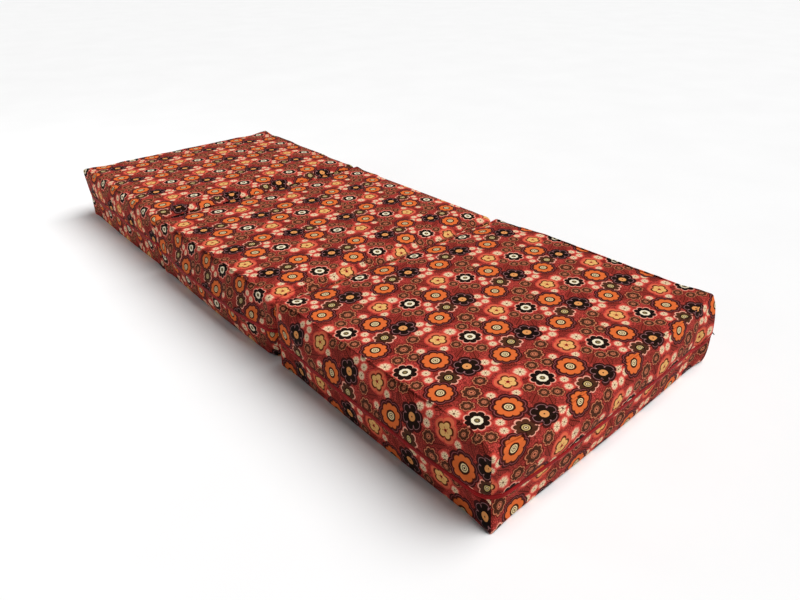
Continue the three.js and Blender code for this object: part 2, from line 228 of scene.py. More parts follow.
# Where the print lies on each cover: the middle of one large orange flower on the flat cloth and the repeat
# as it lies there, in MM, which way the cloth is turned, how far its rows lean for each unit across, and how
# far they are bowed along X for each square metre from the bow's middle
BOW_MIDDLE = 60 * MM
Laid = namedtuple("Laid", "start repeat turn lean bow", defaults=(0, 0))
PRINT_LAID = {
    "far_top": Laid((-416.6, 196.5), (173.2, 161.7), (1, 1), lean=0.031),
    "middle_top": Laid((269.8, 230.2), (177.3, 162.2), (-1, -1), bow=-0.19),
    "near_top": Laid((375, 242), (183.3, 162.7), (1, 1), lean=0.0116),
    "far_base": Laid((-419.6, -306.7), (174.3, 162), (1, -1)),
    "middle_base": Laid((232.1, -303.5), (178.7, 162.5), (1, -1)),
    "near_base": Laid((912, -348), (183.3, 162.7), (1, -1)),
}

# Within this distance of the flat, a wall's print turns from the flat's run to the sewn corner's
PRINT_TURN = 45 * MM

# Places across the cloth's edge, off the stitches: on the flat, and inside the channel
FAR_OFF = (0.0, 0.1)
TUCKED_IN = (0.0, -0.01)

# The camera stands off the near left corner and looks down along the row
CAMERA_PLACE = (1495.7 * MM, -897.3 * MM, 863.7 * MM)
CAMERA_YAW = math.radians(136.18)
CAMERA_PITCH = math.radians(25.69)
CAMERA_ROLL = math.radians(-0.517)
CAMERA_LENS = 29.39
CAMERA_SHIFT = (-0.0811, -0.0564)

# The key light comes from beyond the near end, from the right and from above
KEY_FROM = (0.34, 0.44, 0.83)

# How bright the sky is as a light, and the backdrop's colour
SKY_LIGHT = 0.09
BACKDROP = (0.86, 0.86, 0.86, 1.0)

# A soft fill stands off the left side of the far block
FILL_FROM = (-1.7, -1.7, 0.9)
FILL_AT = (-0.6, -0.35, 0.1)

# Half the floor's width, and how far it lies under the frame's floor
FLOOR_REACH = 60
FLOOR_DROP = 0.5 * MM

# The print: how far its lines waver, and the widest reach of a flower in its radii
HAND_DRAWN = 1.6 * MM
WIDEST_REACH = 2.0

# The petals: how pointed the notches are, where they begin, where the outline grows rounder, and how near a
# notch's line the parting line lies
NOTCH_POINT = 0.62
NOTCH_BEGINS = (0.33, 0.5)
GROWS_ROUNDER = (0.6, 1.05)
PARTED = (0.34, 0.16)

# A leaf, told in half its length: its half width, its rim, its midrib, and its veins' run, slant and breadth
LEAF_WIDTH = 0.52
LEAF_RIM = 0.86
MIDRIB = 0.05
VEINS_ALONG = 3.6
VEINS_ACROSS = -3.2
VEIN_BREADTH = 0.24

# The ground's veins, and the cloth's threads
VEIN_SWIRL = 9 * MM
VEIN_SPACING = 4.2 * MM
THREAD_PITCH = 0.9 * MM

# The stitches beside the zip, half the share of the pitch that each one fills, and how far the cloth sinks
# beside them and how deep, in their thickness
STITCHES = {"Pitch": 4.2 * MM, "Inset": 3.2 * MM, "Thickness": 0.45 * MM}
STITCH_SHARE = 0.34
SUNK_REACH = 5.0
SUNK_DEPTH = 0.6

# The tape's twill and rows, and how deep each surface's fine relief is
TWILL_PITCH = 0.8 * MM
TAPE_ROW_PITCH = 1.3 * MM
CLOTH_RELIEF = 0.5 * MM
TAPE_RELIEF = 0.25 * MM
SCRATCH_DEPTH = 0.05 * MM

# The print's inks, on the flowers and then on the ground
BARE = (0.0, 0.0, 0.0, 0.0)
ORANGE = shade(0xE66E34)
CREAM = shade(0xF4DCA8)
IVORY = shade(0xFAECCC)
BROWN = shade(0x3A1808)
BARK = shade(0x4C2A1A)
UMBER = shade(0x5E2410)
BLACK = shade(0x0E0403)
DARK_WINE = shade(0x3A0C0C)
LILAC = shade(0x9C6A6C)
PLUM = shade(0x8A4648)
TAN = shade(0xEFB86E)
APRICOT = shade(0xE89C5A)
SALMON = shade(0xE2684A)
DULL_SALMON = shade(0xD07A58)
ROSE = shade(0xCC4238)
PINK = shade(0xF4A890)
BLUSH = shade(0xEC7C68)
DAISY = shade(0xF6D8AE)
OLIVE = shade(0xC8AE70)
STAR_RED = shade(0xA8181C)
MAROON = shade(0xAE3C34)
BRICK = shade(0xD04A42)
INK_RED = shade(0x5E1610)
LEAF_RED = shade(0x9A322A)
LEAF_VEIN = shade(0x4A0E08)

# The cloth's faded tone, the painted shade between its threads, and its stitches
FADED_CLOTH = shade(0xC88858)
PAINTED_THREAD_SHADE = shade(0x300C06)
STITCH_RED = shade(0x7A1C24)

# The zip's tape, a lit copy of its red laid in patches as painted highlight, and the painted shade in its
# twill
TAPE_RED = shade(0x920A0E)
TAPE_PAINTED_LIT = shade(0xB41214)
TAPE_PAINTED_SHADE = shade(0x4A060C)

# The metal of the slider and of its pull tab, bright and dull, and the floor's two tones
SLIDER_BRIGHT = shade(0xB4B4B8)
SLIDER_DULL = shade(0x808084)
PULL_BRIGHT = shade(0x1E1E20)
PULL_DULL = shade(0x0E0E10)
FLOOR_TONES = (shade(0xF4F4F4), shade(0xFAFAFA))

# Each kind of flower: where it stands in the repeat, as X, Y, radius and turn in MM and degrees, its number
# of petals, how deep they are notched and how much rounder the outline is past them, its bands of colour from
# the middle out, and the line that parts its petals, if any. A leaf has no petals.
Flower = namedtuple("Flower", "spots petals notch rounding bands parting soft",
                    defaults=(0, 0, 0, (), None, False))
Parting = namedtuple("Parting", "start reach colour")
FLOWERS = [
    Flower(
        spots=[(103, -80, 19, 35), (37, 64, 17, -60), (-33, -92, 17, 20), (15, 46, 15, -25),
               (-58, 14, 16, 70), (-79, -42, 14, -15), (118, 24, 15, 50), (5, -35, 13, 80)]),
    Flower(
        spots=[(-52, -78, 13, 0), (17, -38, 9, 20), (35.5, -48, 9, 40), (142, 0, 9, 10), (81, -88, 9, 30),
               (67, -102, 10, 0), (93, -104, 9.5, 15), (91, -124, 10, 50), (-17, 37, 9, 25)],
        petals=8, notch=0.25, rounding=0.6, soft=True,
        bands=[(0, UMBER), (0.13, UMBER), (0.22, DAISY), (0.66, DAISY), (0.84, PINK), (0.96, BLUSH),
               (1.08, ROSE), (1.22, ROSE), (1.5, faded(ROSE))],
        parting=Parting(start=0.25, reach=0.8, colour=UMBER)),
    Flower(
        spots=[(113, -18, 19.5, 10), (100, 16, 15, 0), (146, -20, 14, 30), (133, -48, 14.5, 15),
               (30.5, -73, 14, 5), (16, 71, 13, 20), (-11, 63, 13, 40)],
        petals=8, notch=0.28,
        bands=[(0, DARK_WINE), (0.1, DULL_SALMON), (0.24, DARK_WINE), (0.3, DULL_SALMON), (0.36, BARK),
               (0.82, DULL_SALMON), (0.95, INK_RED), (1.08, BARE)],
        parting=Parting(start=0.4, reach=0.85, colour=DARK_WINE)),
    Flower(
        spots=[(136, 48.6, 24, 54)],
        petals=5, notch=0.36, rounding=0.75,
        bands=[(0, DARK_WINE), (0.06, STAR_RED), (0.14, TAN), (0.64, UMBER), (0.8, SALMON), (1.03, ROSE),
               (1.14, BARE)],
        parting=Parting(start=0.14, reach=0.3, colour=STAR_RED)),
    Flower(
        spots=[(-12.7, -62, 26, 22)],
        petals=8, notch=0.27, rounding=0.3,
        bands=[(0, OLIVE), (0.05, BLACK), (0.11, OLIVE), (0.14, BLACK), (0.21, IVORY), (0.42, BLACK),
               (0.86, PINK), (0.96, ROSE), (1.06, BARE)]),
    Flower(
        spots=[(54.5, -18, 24.5, 0)],
        petals=8, notch=0.27, rounding=0.2,
        bands=[(0, BLACK), (0.07, CREAM), (0.13, BROWN), (0.18, OLIVE), (0.29, BLACK), (0.42, BARK),
               (0.84, PINK), (0.97, BARE)]),
    Flower(
        spots=[(53.6, 29, 27, 30)],
        petals=6, notch=0.27, rounding=0.2,
        bands=[(0, BLACK), (0.06, APRICOT), (0.32, BLACK), (0.88, LILAC), (0.925, BLACK), (0.96, DARK_WINE),
               (1.14, BARE)],
        parting=Parting(start=0.72, reach=0.92, colour=LILAC)),
    Flower(
        spots=[(0, 0, 32, 10), (76, -57, 29.5, 0)],
        petals=9, notch=0.2, rounding=0.35,
        bands=[(0, BROWN), (0.06, CREAM), (0.12, BROWN), (0.17, CREAM), (0.24, BROWN), (0.37, ORANGE),
               (0.76, UMBER), (0.82, DARK_WINE), (0.92, PLUM), (0.97, DARK_WINE), (1.08, BARE)]),
]


def mix(a, b, share):
    return a + (b - a) * share


def wave(degrees):
    return np.maximum(np.sin(np.radians(degrees)), 0)


def fall(degrees):
    return 1 - np.cos(np.radians(degrees))


def smooth(low, high, value):
    share = np.clip((value - low) / (high - low), 0, 1)
    return share * share * (3 - 2 * share)


def add_object(data):
    """An object in the scene for a mesh, a light or a camera, under the same name."""
    made = bpy.data.objects.new(data.name, data)
    bpy.context.scene.collection.objects.link(made)
    return made


def vectors(mesh, key="co"):
    """The places of a mesh's points, or their normals."""
    flat = np.zeros(len(mesh.vertices) * 3)
    mesh.vertices.foreach_get(key, flat)
    return flat.reshape(-1, 3)


def place(mesh, points):
    mesh.vertices.foreach_set("co", points.ravel())
    mesh.update()


def reshape(mesh, change):
    """Changes a mesh's points and faces."""
    shape = bmesh.new()
    shape.from_mesh(mesh)
    change(shape)
    shape.to_mesh(mesh)
    shape.free()


def block_ends():
    """Each block's two ends along X, in a row whose middle is at zero."""
    total = sum(BLOCK_LENGTHS.values()) + 2 * FOLD_GAP
    ends = {}
    start = -total / 2
    for name, length in BLOCK_LENGTHS.items():
        ends[name] = (start, start + length)
        start += length + FOLD_GAP
    return ends


class Rim:
    """The stations round one block, and how its covers behave at each."""

    def __init__(self, name):
        self.name = name
        self.ends = block_ends()[name]
        length = self.ends[1] - self.ends[0]
        sides = []
        for side in range(4):
            along = WIDTH if side % 2 else length
            count = WIDE_STATIONS if side % 2 else LONG_STATIONS
            share = np.arange(count) / count
            share = share - CORNER_CROWD * np.sin(2 * np.pi * share) / (2 * np.pi)
            sides.append(np.stack([np.full(count, side), share * along, np.full(count, along)]))
        side, self.run, self.length = np.concatenate(sides, axis=1)
        self.side = side.astype(int)
        self.at_start = self.run <= self.length / 2
        self.corner = np.where(self.at_start, self.side, (self.side + 1) % 4)
        self.reach = np.minimum(self.run, self.length - self.run)
        self.away = smooth(0, EAR_REACH, self.reach)
        self.blend()

    def traits(self, table, row):
        """What a table says of this block, by name, with each station's own row."""
        rows = table[self.name]
        return {key: np.array([getattr(one, key) for one in rows])[row] * MM for key in rows[0]._fields}

    def blend(self):
        """The traits at each station, between its side's row and its corner's row."""
        edge = self.traits(SIDES, self.side)
        ear = self.traits(CORNERS, self.corner)
        swell = np.sqrt(smooth(0, self.length / 2, self.reach)) * self.away
        self.ear = ear
        self.roll = mix(np.minimum(EAR_ROLL + ear["high"] / 2, edge["roll"]), edge["roll"], self.away)
        self.foot = mix(EAR_FOOT, edge["foot"], self.away)
        self.crest = mix(ear["ear"], edge["crest"], self.away)
        self.zip = mix(ear["zip"], edge["zip"], smooth(0, ZIP_REACH, self.reach))
        self.zip += ear["climb"] * (1 - smooth(0, CLIMB_REACH, self.reach))
        self.shoulder = edge["shoulder"] * smooth(0, SHOULDER_REACH, self.reach)
        self.belly = edge["belly"] * smooth(0, BELLY_REACH, self.reach)
        self.upper = edge["upper"] * swell
        self.lower = edge["lower"] * swell
        self.sunk = np.where(self.reach < 1 * MM, SEAM_SINK, 0)

    def point(self, z, push):
        """The block's outline at heights z, pushed outward."""
        z = np.broadcast_to(z, self.run.shape)
        rise = z / HEIGHT
        lean = Lean(*(value * MM for value in LEANS[self.name]))
        start = self.ends[0] + mix(lean.far_low, lean.far_high, rise)
        stop = self.ends[1] - mix(lean.near_low, lean.near_high, rise)
        half = WIDTH / 2
        corner_x = np.stack([start, stop, stop, start])
        corner_y = np.array([-half, -half, half, half])
        stations = np.arange(len(self.run))
        begin = np.stack([corner_x[self.side, stations], corner_y[self.side]], 1)
        after = (self.side + 1) % 4
        end = np.stack([corner_x[after, stations], corner_y[after]], 1)
        normal = NORMALS[self.side]
        tangent = TANGENTS[self.side]

        low, waist, high = self.ear["low"], self.ear["waist"], self.ear["high"]
        below = mix(low, waist, smooth(0, self.zip, z))
        above = mix(waist, high, smooth(self.zip, self.crest, z))
        radius = np.where(z < self.zip, below, above)
        out = push + self.ear["swell"] * (1 - self.away) * wave(180 * rise) ** 0.6

        share = (self.run / self.length)[:, None]
        straight = mix(begin, end, share) + normal * out[:, None]
        toward = np.where(self.at_start, -1, 1)
        anchor = np.where(self.at_start[:, None], begin, end)
        turn = (1 - np.minimum(self.reach / radius, 1)) * math.pi / 4
        centre = anchor - (toward[:, None] * tangent + normal) * radius[:, None]
        spoke = np.cos(turn)[:, None] * normal + (toward * np.sin(turn))[:, None] * tangent
        rounded = centre + spoke * (radius + out)[:, None]
        flat = np.where((self.reach < radius)[:, None], rounded, straight)
        return np.column_stack([flat, z])

    def slack(self):
        """Loose cloth swells and sinks a little along a side."""
        turn = (self.side + 1) * 1.7 + self.ends[0] / (300 * MM)
        waves = np.sin(self.run / SHORT_WAVE + turn) * np.sin(self.run / LONG_WAVE - turn)
        return SLACK * waves * self.away


def top_rows(rim):
    """A top cover's rows, from inside the zip's channel up to where the flat of the top begins."""
    foot = rim.zip + ZIP_HEIGHT / 2
    head = rim.crest - rim.roll
    inside = rim.belly - CHANNEL_DEPTH
    lip = rim.belly - DRAW_IN
    rows = [
        rim.point(rim.zip + PIECE_GAP / 2, inside),
        rim.point(foot, inside),
        rim.point(foot, lip - EDGE_FOLD),
        rim.point(foot + EDGE_FOLD, lip),
    ]
    for step in range(1, WALL_ROWS + 1):
        share = step / WALL_ROWS
        push = mix(rim.shoulder, rim.belly, (1 - share) ** 1.3)
        push += (rim.upper + rim.slack()) * wave(180 * share) ** 0.8 - DRAW_IN * (1 - share) ** 3 - rim.sunk
        rows.append(rim.point(mix(foot, head, share), push))
    for step in range(1, ROLL_ROWS + 1):
        angle = 90 * step / ROLL_ROWS
        push = rim.shoulder - rim.roll * fall(angle) - rim.sunk
        rows.append(rim.point(head + rim.roll * wave(angle), push))
    return rows


def sag(share):
    """A base cover's wall swells most low down, where the weight spreads it."""
    return 0.6 * (1 - share) ** 0.8 + 0.5 * wave(180 * share)


def base_rows(rim):
    """A base cover's rows, from the floor up into the zip's channel."""
    head = rim.zip - ZIP_HEIGHT / 2
    inside = rim.belly - CHANNEL_DEPTH
    lip = rim.belly - DRAW_IN
    rows = []
    for step in range(FOOT_ROWS):
        angle = 90 * (1 - step / FOOT_ROWS)
        rows.append(rim.point(rim.foot * (1 - wave(angle)), rim.lower * sag(0) - rim.foot * fall(angle)))
    for step in range(WALL_ROWS):
        share = step / WALL_ROWS
        push = rim.belly * share ** 0.8 + rim.lower * sag(share) - DRAW_IN * share ** 3 - rim.sunk
        rows.append(rim.point(mix(rim.foot, head, share), push + rim.slack() * wave(180 * share)))
    return rows + [
        rim.point(head - EDGE_FOLD, lip),
        rim.point(head, lip - EDGE_FOLD),
        rim.point(head, inside),
        rim.point(rim.zip - PIECE_GAP / 2, inside),
    ]


def patch(ring, crown):
    """A grid of points inside a ring, blended across from its four edges and crowned."""
    wide, deep = LONG_STATIONS, WIDE_STATIONS
    south = ring[:wide + 1]
    east = ring[wide:wide + deep + 1]
    north = ring[wide + deep:2 * wide + deep + 1][::-1]
    west = np.vstack([ring[2 * wide + deep:], ring[:1]])[::-1]
    along = ((south[:, 0] - south[0, 0]) / (south[-1, 0] - south[0, 0]))[:, None, None]
    across = ((west[:, 1] - west[0, 1]) / (west[-1, 1] - west[0, 1]))[None, :, None]
    rows = mix(south[:, None], north[:, None], across) + mix(west[None], east[None], along)
    lower = mix(south[0], south[-1], along)
    upper = mix(north[0], north[-1], along)
    grid = rows - mix(lower, upper, across)
    u = 2 * along[..., 0] - 1
    v = 2 * across[..., 0] - 1
    swell = (1 - np.abs(u) ** 3) * (1 - np.abs(v) ** 3)
    if crown:
        grid[..., 2] += crown * swell + SLACK * swell * np.sin(5 * u + 1) * np.sin(4 * v - 2 + u)
    return grid


def cloth_paths(rows):
    """How far each row lies from the last one, measured over the cloth at each station."""
    steps = [np.linalg.norm(b - a, axis=1) for a, b in zip(rows, rows[1:])]
    paths = [np.zeros(len(rows[0]))]
    for step in reversed(steps):
        paths.append(paths[-1] + step)
    return paths[::-1]


class Cover:
    """One block's top or base cover: its points, faces and places on the cloth, gathered in order."""

    def __init__(self, rim, part):
        self.rim = rim
        self.part = part
        self.points = []
        self.faces = []
        self.cloth = []
        self.held = []
        if part == "top":
            rows = top_rows(rim)
            flat = patch(rows[-1], CROWNS[rim.name])
            cap = rim.zip.mean() + PIECE_GAP / 2
        else:
            rows = base_rows(rim)[::-1]
            flat = patch(rows[-1], 0)
            cap = rim.zip.mean() - PIECE_GAP / 2
        self.lay(rows, flat, cap)

    def lay(self, rows, flat, cap):
        """Walls from the channel to the flat, then the flat, then the cap inside the channel."""
        count = len(rows[0])
        self.points = list(np.vstack(rows))
        paths = cloth_paths(rows)
        rim_line = rows[-1]
        for level in range(len(rows) - 1):
            for k in range(count):
                after = (k + 1) % count
                corners = [(level, k), (level, after), (level + 1, after), (level + 1, k)]
                places = [self.wall_place(rim_line, paths, self.rim.side[k], row, station)
                          for row, station in corners]
                edges = [self.edge_place(paths, k, row, station) for row, station in corners]
                self.add_face([row * count + station for row, station in corners], places, edges)
        self.add_flat(flat, (len(rows) - 1) * count)
        self.add_cap(count, cap)
        self.held = list(range(3 * count)) + [len(self.points) - 1]

    def wall_place(self, rim_line, paths, side, row, station):
        """Where a wall point lies on the flat cloth, carried straight out from the rim of the flat."""
        path = paths[row][station]
        span = self.rim.length[self.rim.side == side][0]
        run = self.rim.run[station] if self.rim.side[station] == side else span
        start = self.rim.ends[0], -WIDTH / 2
        stop = self.rim.ends[1], WIDTH / 2
        sewn = [(start[0] + run, 0), (0, start[1] + run), (stop[0] - run, 0), (0, stop[1] - run)][side]
        place = rim_line[station][:2] + NORMALS[side] * path
        along = side % 2
        place[along] = mix(rim_line[station][along], sewn[along], smooth(0, PRINT_TURN, path))
        return place

    def edge_place(self, paths, k, row, station):
        """Along the block's rim, and out from the cover's folded edge at the zip."""
        run = self.rim.run[station]
        if self.rim.side[station] != self.rim.side[k]:
            run = self.rim.length[k]
        return run, paths[2][station] - paths[row][station]

    def add_face(self, corners, places, edges):
        order = range(len(corners))
        if self.part == "base":
            order = order[::-1]
        self.faces.append([corners[i] for i in order])
        self.cloth.append([(places[i], edges[i]) for i in order])

    def add_flat(self, grid, first):
        """The faces of the flat, whose outer points are the ring that starts at first."""
        wide, deep = LONG_STATIONS, WIDE_STATIONS
        ring = 2 * (wide + deep)
        around = first + np.arange(ring + 1) % ring
        index = np.zeros((wide + 1, deep + 1), int)
        index[:, 0] = around[:wide + 1]
        index[wide] = around[wide:wide + deep + 1]
        index[::-1, deep] = around[wide + deep:2 * wide + deep + 1]
        index[0, ::-1] = around[2 * wide + deep:]
        inner = grid[1:wide, 1:deep].reshape(-1, 3)
        index[1:wide, 1:deep] = len(self.points) + np.arange(len(inner)).reshape(wide - 1, deep - 1)
        self.points += list(inner)
        for i in range(wide):
            for j in range(deep):
                corners = [index[i, j], index[i + 1, j], index[i + 1, j + 1], index[i, j + 1]]
                places = [self.points[corner][:2] for corner in corners]
                self.add_face(corners, places, [FAR_OFF] * 4)

    def add_cap(self, count, height):
        middle = np.mean(self.points[:count], axis=0)
        middle[2] = height
        centre = len(self.points)
        self.points.append(middle)
        for k in range(count):
            corners = [centre, (k + 1) % count, k]
            places = [self.points[corner][:2] for corner in corners]
            self.add_face(corners, places, [TUCKED_IN] * 3)

    def laid(self, place):
        """A place on the flat cloth, told from the middle of a large orange flower of the print."""
        laid = PRINT_LAID[f"{self.rim.name}_{self.part}"]
        away = [place[i] - laid.start[i] * MM for i in range(2)]
        away[0] -= laid.lean * away[1] + laid.bow * (place[1] - BOW_MIDDLE) ** 2
        return [away[i] * laid.turn[i] * REPEAT[i] / (laid.repeat[i] * MM) for i in range(2)]

    def build(self, shift):
        mesh = bpy.data.meshes.new(f"{self.rim.name}_{self.part}_cloth")
        mesh.from_pydata([Vector(point) + shift for point in self.points], [], self.faces)
        prints = mesh.uv_layers.new(name="print")
        edges = mesh.uv_layers.new(name="edge")
        loops = [corner for face in self.cloth for corner in face]
        prints.data.foreach_set("uv", [value for place, _ in loops for value in self.laid(place)])
        edges.data.foreach_set("uv", [value for _, edge in loops for value in edge])
        mesh.polygons.foreach_set("use_smooth", [True] * len(mesh.polygons))
        return add_object(mesh)


def looseness(points, rim):
    """How free the cloth is at each point: little near the sewn corners, and not at all on the floor."""
    inward = np.minimum(points[:, 0] - rim.ends[0], rim.ends[1] - points[:, 0])
    across = np.minimum(points[:, 1] + WIDTH / 2, WIDTH / 2 - points[:, 1])
    from_corner = np.hypot(np.maximum(inward, 0), np.maximum(across, 0))
    return smooth(0, CORNER_HOLD, from_corner), smooth(*FLOOR_HOLD, points[:, 2])


def settle(piece, rim, held, shift):
    """A short cloth simulation lets the cover find its slack, within each point's free play."""
    pins = piece.vertex_groups.new(name="held")
    pins.add(held, 1.0, "REPLACE")
    start = vectors(piece.data)
    loose, raised = looseness(start - np.array(shift), rim)
    inset = START_INSET * loose * raised
    inset[held] = 0
    start -= vectors(piece.data, "normal") * inset[:, None]
    place(piece.data, start)
    cloth = piece.modifiers.new("settle", "CLOTH")
    for key, value in CLOTH.items():
        setattr(cloth.settings, key, value)
    cloth.settings.effector_weights.gravity = 0
    cloth.point_cache.frame_end = SETTLE_FRAMES
    scene = bpy.context.scene
    for frame in range(1, SETTLE_FRAMES + 1):
        scene.frame_set(frame)
    settled = bpy.data.meshes.new_from_object(piece.evaluated_get(bpy.context.evaluated_depsgraph_get()))
    moved = vectors(settled) - start
    piece.modifiers.clear()
    piece.vertex_groups.clear()
    bpy.data.meshes.remove(settled)
    scene.frame_set(1)
    far = np.linalg.norm(moved, axis=1)
    free = FREE_PLAY * mix(CORNER_PLAY, 1, loose)
    held_back = np.tanh(far / free) * free / np.maximum(far, 1e-9)
    points = start + moved * held_back[:, None]
    points[:, 2] = np.maximum(points[:, 2], 0)
    place(piece.data, points)


def gather(piece, shift):
    """Small gathers of the cloth above and below the zip, and its tucks."""
    mesh = piece.data
    folded = np.zeros(len(mesh.vertices))
    edges = np.zeros(len(mesh.loops) * 2)
    corners = np.zeros(len(mesh.loops), int)
    mesh.uv_layers["edge"].data.foreach_get("uv", edges)
    mesh.loops.foreach_get("vertex_index", corners)
    folded[corners] = edges[1::2]
    normals = vectors(mesh, "normal")
    points = vectors(mesh)
    places = points - np.array(shift)
    depth = GATHER_DEPTH * smooth(0, GATHER_START, folded) * np.exp(-np.maximum(folded, 0) / GATHER_REACH)
    for index in np.nonzero(depth > LEAST_GATHER)[0]:
        x, y, z = places[index]
        wrinkle = noise.noise(Vector(np.divide((x + y, x - y, z), GATHER_STRETCH)))
        points[index] += normals[index] * depth[index] * wrinkle * 2
    for tuck in TUCKS:
        start = np.array(tuck.start) * MM
        along = np.array(tuck.end) * MM - start
        share = np.clip((places - start) @ along / (along @ along), 0, 1)
        off = np.linalg.norm(places - start - share[:, None] * along, axis=1)
        taper = wave(180 * mix(TUCK_TAPER, 1 - TUCK_TAPER, share))
        dip = tuck.depth * MM * np.exp(-(off / (tuck.width * MM)) ** 2) * taper
        points -= normals * np.where(folded > 0, dip, 0)[:, None]
    points[:, 2] = np.maximum(points[:, 2], 0)
    place(mesh, points)


def subdivide(piece):
    smoother = piece.modifiers.new("subdivide", "SUBSURF")
    smoother.levels = 1
    smoother.uv_smooth = "PRESERVE_BOUNDARIES"
    graph = bpy.context.evaluated_depsgraph_get()
    finer = bpy.data.meshes.new_from_object(piece.evaluated_get(graph))
    piece.modifiers.clear()
    old = piece.data
    finer.name = old.name
    piece.data = finer
    bpy.data.meshes.remove(old)


class Nodes:
    """Adds nodes to a shader tree, each input joined to a value or to another node's output."""

    def __init__(self, tree):
        self.tree = tree

    def add(self, kind, *inputs, **settings):
        node = self.tree.nodes.new("ShaderNode" + kind)
        for key, value in settings.items():
            setattr(node, key, value)
        for socket, value in zip(node.inputs, inputs):
            self.join(socket, value)
        return node

    def join(self, socket, value):
        if isinstance(value, bpy.types.NodeSocket):
            self.tree.links.new(value, socket)
        elif value is not None:
            socket.default_value = value

    def math(self, operation, *values):
        return self.add("Math", *values, operation=operation).outputs[0]

    def vector(self, operation, *values):
        return self.add("VectorMath", *values, operation=operation).outputs[0]

    def scale(self, value, by):
        node = self.add("VectorMath", value, operation="SCALE")
        self.join(node.inputs["Scale"], by)
        return node.outputs[0]

    def length(self, value):
        return self.add("VectorMath", value, operation="LENGTH").outputs[1]

    def split(self, value):
        return self.add("SeparateXYZ", value).outputs

    def join_xyz(self, x, y, z=0.0):
        return self.add("CombineXYZ", x, y, z).outputs[0]

    def mixed(self, data_type, first, share, below, above):
        """A mix of two inputs, which start at the socket called first."""
        node = self.add("Mix", share, data_type=data_type)
        self.join(node.inputs[first], below)
        self.join(node.inputs[first + 1], above)
        return node

    def mix_colour(self, share, below, above):
        return self.mixed("RGBA", 6, share, below, above).outputs[2]

    def mix_vector(self, share, below, above):
        return self.mixed("VECTOR", 4, share, below, above).outputs[1]

    def spread(self, value, low, high, to_low=0.0, to_high=1.0):
        """A value's place between two limits, carried to two others and kept between them."""
        return self.add("MapRange", value, low, high, to_low, to_high).outputs[0]

    def noise(self, place, scale, detail=2.0, roughness=0.5, distortion=0.0):
        node = self.add("TexNoise")
        for label, value in {"Vector": place, "Scale": scale, "Detail": detail, "Roughness": roughness,
                             "Distortion": distortion}.items():
            self.join(node.inputs[label], value)
        return node.outputs

    def bands(self, reach, colours, soft=False):
        """Colours that follow one another outward, each from its own reach on, and bare after the last."""
        node = self.add("ValToRGB", self.math("DIVIDE", reach, WIDEST_REACH))
        ramp = node.color_ramp
        ramp.interpolation = "LINEAR" if soft else "CONSTANT"
        while len(ramp.elements) > 1:
            ramp.elements.remove(ramp.elements[-1])
        for index, (start, colour) in enumerate(colours):
            element = ramp.elements[0] if index == 0 else ramp.elements.new(start / WIDEST_REACH)
            element.position = start / WIDEST_REACH
            element.color = colour
        return node.outputs[0], node.outputs[1]

    def call(self, group, **inputs):
        """Places a shader group, with its inputs by name, and returns its outputs."""
        node = self.tree.nodes.new("ShaderNodeGroup")
        node.node_tree = bpy.data.node_groups[group]
        for label, value in inputs.items():
            self.join(node.inputs[label.replace("_", " ")], value)
        return node.outputs


def make_group(name, inputs, outputs, build):
    """A shader node group with named sockets. Build turns its nodes and inputs into its outputs."""
    group = bpy.data.node_groups.new(name, "ShaderNodeTree")
    for label, default in inputs.items():
        kind = "NodeSocketFloat" if isinstance(default, float) else "NodeSocketVector"
        socket = group.interface.new_socket(name=label, in_out="INPUT", socket_type=kind)
        socket.default_value = default
    for label, kind in outputs.items():
        group.interface.new_socket(name=label, in_out="OUTPUT", socket_type="NodeSocket" + kind)
    nodes = Nodes(group)
    source = group.nodes.new("NodeGroupInput")
    results = build(nodes, source.outputs)
    sink = group.nodes.new("NodeGroupOutput")
    for socket, value in zip(sink.inputs, results):
        nodes.join(socket, value)


def build_nearer_spot(nodes, inputs):
    """A place seen from one more flower: its offset in that flower's radii, kept where it is the nearer."""
    half = (REPEAT[0] / 2, REPEAT[1] / 2, 1.0)
    away = nodes.vector("SUBTRACT", inputs["Place"], inputs["Middle"])
    wrapped = nodes.vector("WRAP", away, half, tuple(-side for side in half))
    turned = nodes.add("VectorRotate", wrapped, rotation_type="Z_AXIS")
    nodes.join(turned.inputs["Angle"], inputs["Turn"])
    spot = nodes.scale(turned.outputs[0], nodes.math("DIVIDE", 1.0, inputs["Radius"]))
    nearer = nodes.math("LESS_THAN", nodes.length(spot), nodes.length(inputs["Spot"]))
    return [nodes.mix_vector(nearer, inputs["Spot"], spot)]


def build_petals(nodes, inputs):
    """A spot's reach from its flower's middle: 1 at the petals' edge, which is notched between petals.

    The notches start outside the round middle, and past the petals the outline grows rounder again.
    """
    x, y, _ = nodes.split(inputs["Spot"])
    angle = nodes.math("ARCTAN2", y, x)
    lobe = nodes.math("ABSOLUTE", nodes.math("COSINE", nodes.math("MULTIPLY", angle, inputs["Half petals"])))
    arch = nodes.math("SUBTRACT", 1.0, nodes.math("POWER", lobe, NOTCH_POINT))
    out = nodes.length(inputs["Spot"])
    rounder = nodes.spread(out, *GROWS_ROUNDER, 1.0, nodes.math("SUBTRACT", 1.0, inputs["Rounding"]))
    notched = nodes.math("MULTIPLY", nodes.spread(out, *NOTCH_BEGINS), rounder)
    notched = nodes.math("MULTIPLY", notched, inputs["Notch"])
    edge = nodes.math("SUBTRACT", 1.0, nodes.math("MULTIPLY", arch, notched))
    return [nodes.math("DIVIDE", out, edge), lobe]


